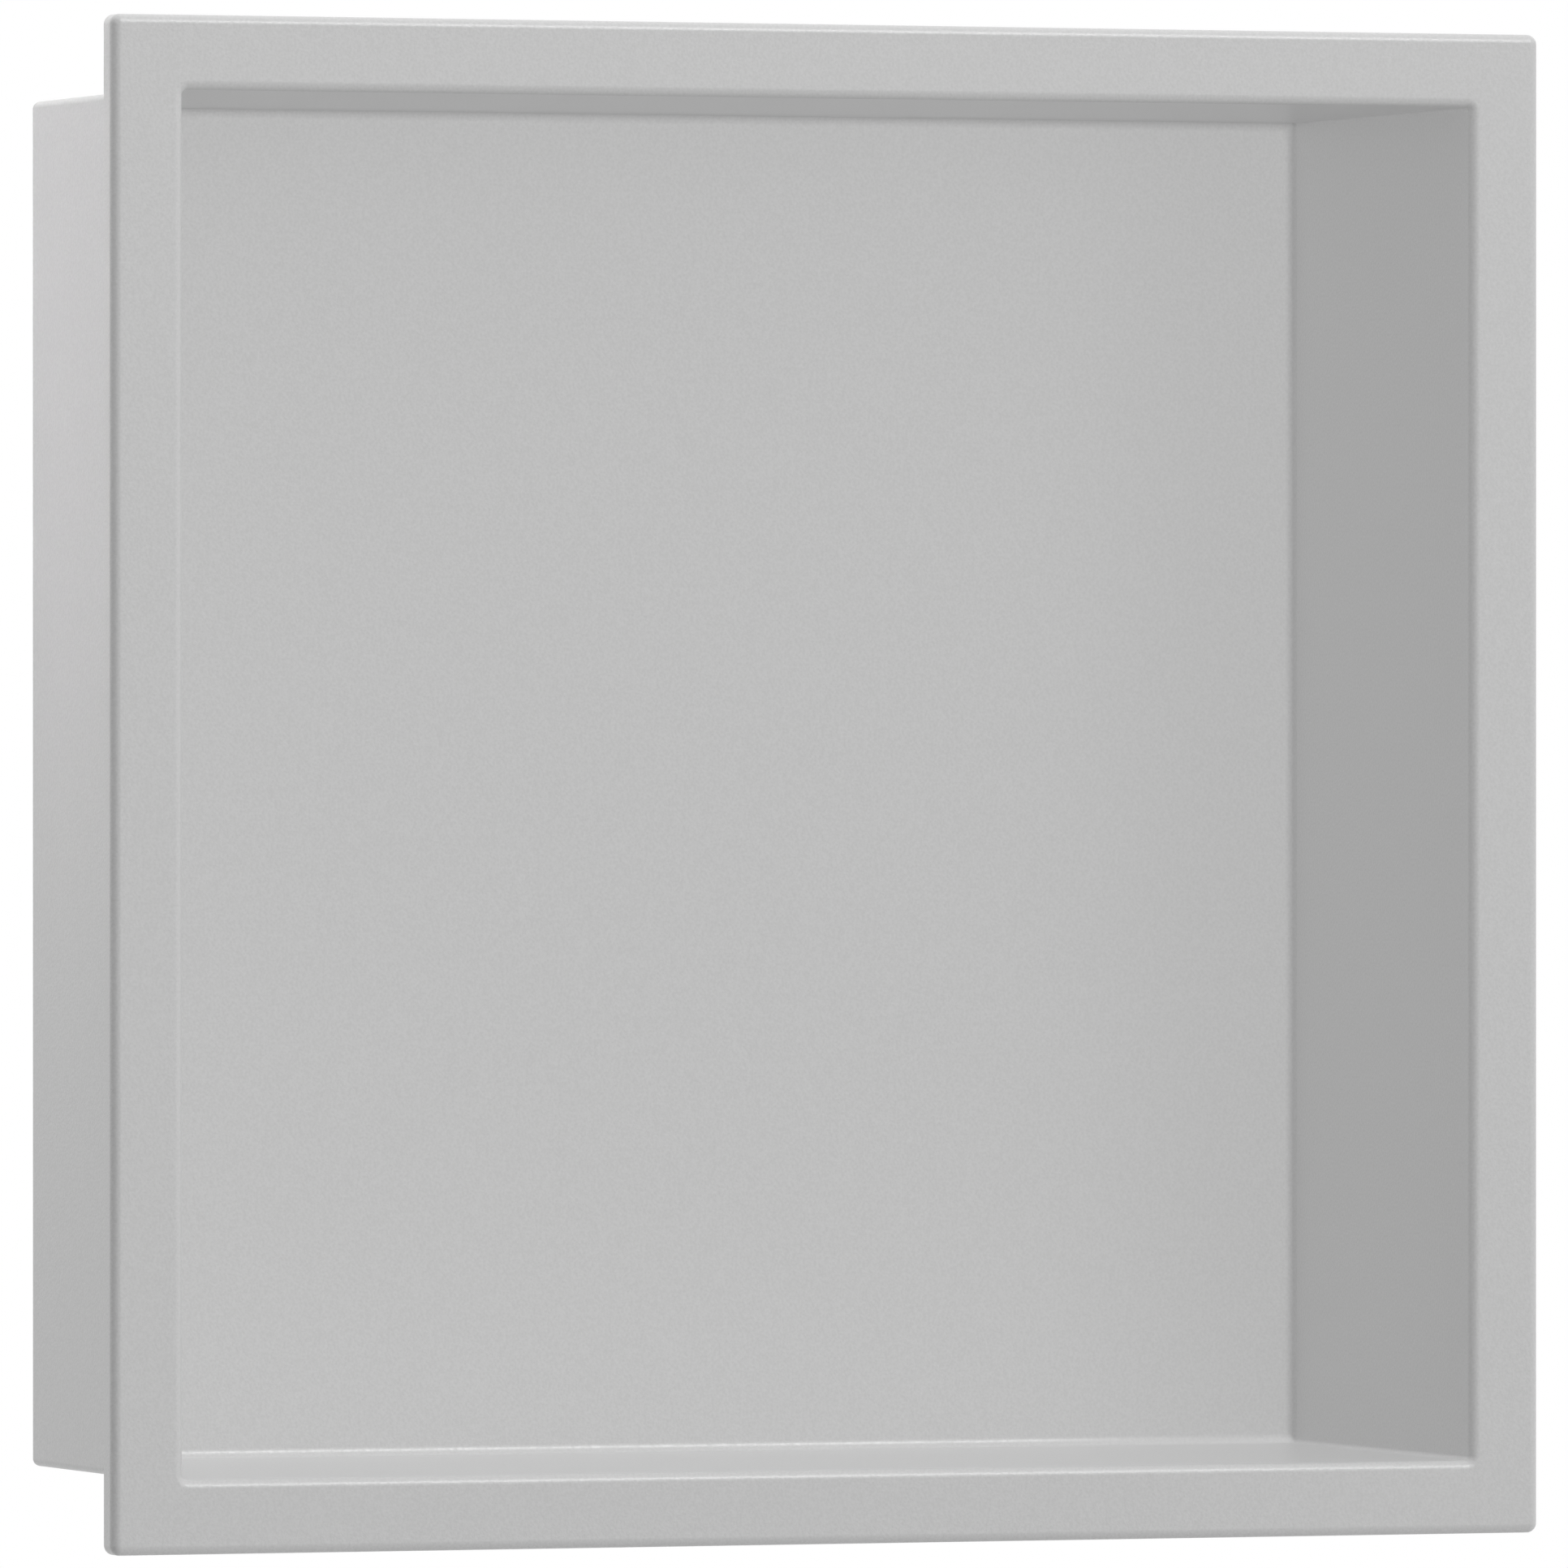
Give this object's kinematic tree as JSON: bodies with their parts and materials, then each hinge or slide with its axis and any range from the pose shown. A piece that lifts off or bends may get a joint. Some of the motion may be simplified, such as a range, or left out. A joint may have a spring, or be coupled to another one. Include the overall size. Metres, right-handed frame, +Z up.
{
  "type": "shower niche insert",
  "caption": "Square recessed wall niche: an open sheet-steel tub with a flat frame folded back to the wall, holding bottles in a shower.",
  "frame": {"origin": "middle of the opening on the wall plane, which is the rear edge of the frame's folded rim", "axes": "+X to the right and +Z up as seen from the room, +Y into the wall"},
  "size_m": [0.3326, 0.1072, 0.3326],
  "materials": {
    "powder_coat": "matt grey fine-textured powder coat on stainless steel sheet"
  },
  "bodies": {
    "root": {"niche_tray": "powder_coat"}
  },
  "joints": []
}
